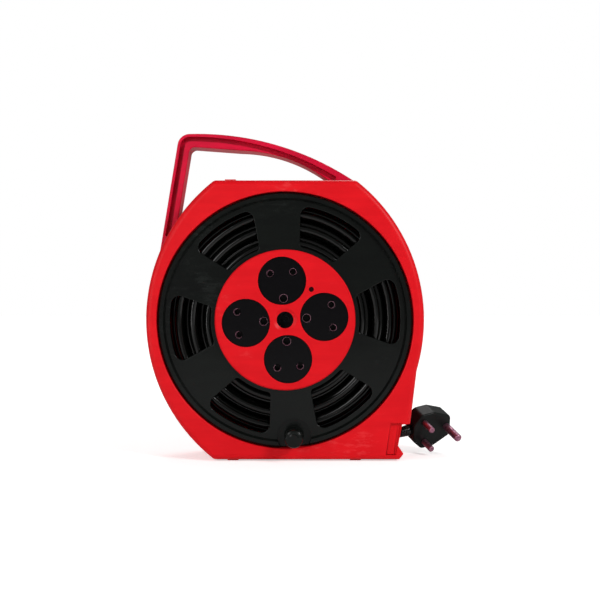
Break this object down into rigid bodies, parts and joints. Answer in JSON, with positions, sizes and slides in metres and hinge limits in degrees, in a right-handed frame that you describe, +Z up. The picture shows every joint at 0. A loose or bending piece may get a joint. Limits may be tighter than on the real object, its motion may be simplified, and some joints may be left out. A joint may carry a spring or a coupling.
{
  "type": "extension cord reel",
  "caption": "Cassette extension cord reel: red split casing with carrying handle, black cable drum with round-pin sockets, winding knob and parked plug.",
  "frame": {"origin": "under the middle of the reel, on the surface that its feet stand on", "axes": "front faces -Y, +X to the right, +Z up; the drum axis is parallel to Y"},
  "size_m": [0.3543, 0.1149, 0.3666],
  "materials": {
    "red_plastic": "satin moulded polypropylene",
    "black_plastic": "satin moulded polypropylene",
    "steel": "zinc plated",
    "brass": "turned or stamped",
    "cable_sheath": "smooth",
    "lead_brown": "smooth",
    "lead_blue": "smooth",
    "lead_green": "smooth",
    "socket_black": "satin thermoset",
    "plug_black": "satin thermoset",
    "button_red": "smooth"
  },
  "bodies": {
    "casing": {"front_casing": "red_plastic", "rear_casing": "red_plastic", "casing_screws": "steel", "carry_handle": "red_plastic", "handle_side_screws": "steel", "handle_top_screws": "steel", "axle": "steel", "axle_washer": "steel", "axle_screw": "steel", "outlet_guide": "red_plastic", "cable_tail": "cable_sheath", "plug_body": "plug_black", "plug_cover": "plug_black", "plug_line_pin": "brass", "plug_neutral_pin": "brass", "plug_earth_pin": "brass", "plug_strain_relief": "cable_sheath", "plug_screw": "steel"},
    "drum": {"axle_bush": "brass", "busbar_carrier": "socket_black", "button_spring": "steel", "cable_inner_end": "cable_sheath", "clamp_screws": "steel", "cord_clamp": "socket_black", "drum_core": "black_plastic", "drum_hub": "black_plastic", "earth_busbar": "brass", "earth_lead": "lead_green", "flange_screws": "steel", "front_flange": "black_plastic", "knob_pin": "steel", "line_busbar": "brass", "line_lead": "lead_brown", "neutral_busbar": "brass", "neutral_lead": "lead_blue", "rear_flange": "black_plastic", "socket_insert_bottom": "socket_black", "socket_insert_left": "socket_black", "socket_insert_right": "socket_black", "socket_insert_top": "socket_black", "socket_plate": "red_plastic", "terminal_screws": "brass", "thermal_cutout": "socket_black", "wound_cable": "cable_sheath"},
    "knob": {"winding_knob": "black_plastic", "knob_cap": "black_plastic"},
    "button": {"reset_button": "button_red"}
  },
  "joints": [
    {"name": "drum_spin", "type": "hinge", "parent": "casing", "child": "drum", "pos_m": [0, 0.011, 0.156], "axis": [0, -1, 0], "continuous": true},
    {"name": "knob_spin", "type": "hinge", "parent": "drum", "child": "knob", "pos_m": [0.00986, -0.029, 0.02788], "axis": [0, -1, 0], "continuous": true},
    {"name": "reset_press", "type": "slide", "parent": "drum", "child": "button", "axis": [0, 1, 0], "range_m": [0, 0.002], "stiffness_N_per_m": 600, "springref_m": -0.002, "deforming": ["button_spring"]}
  ]
}
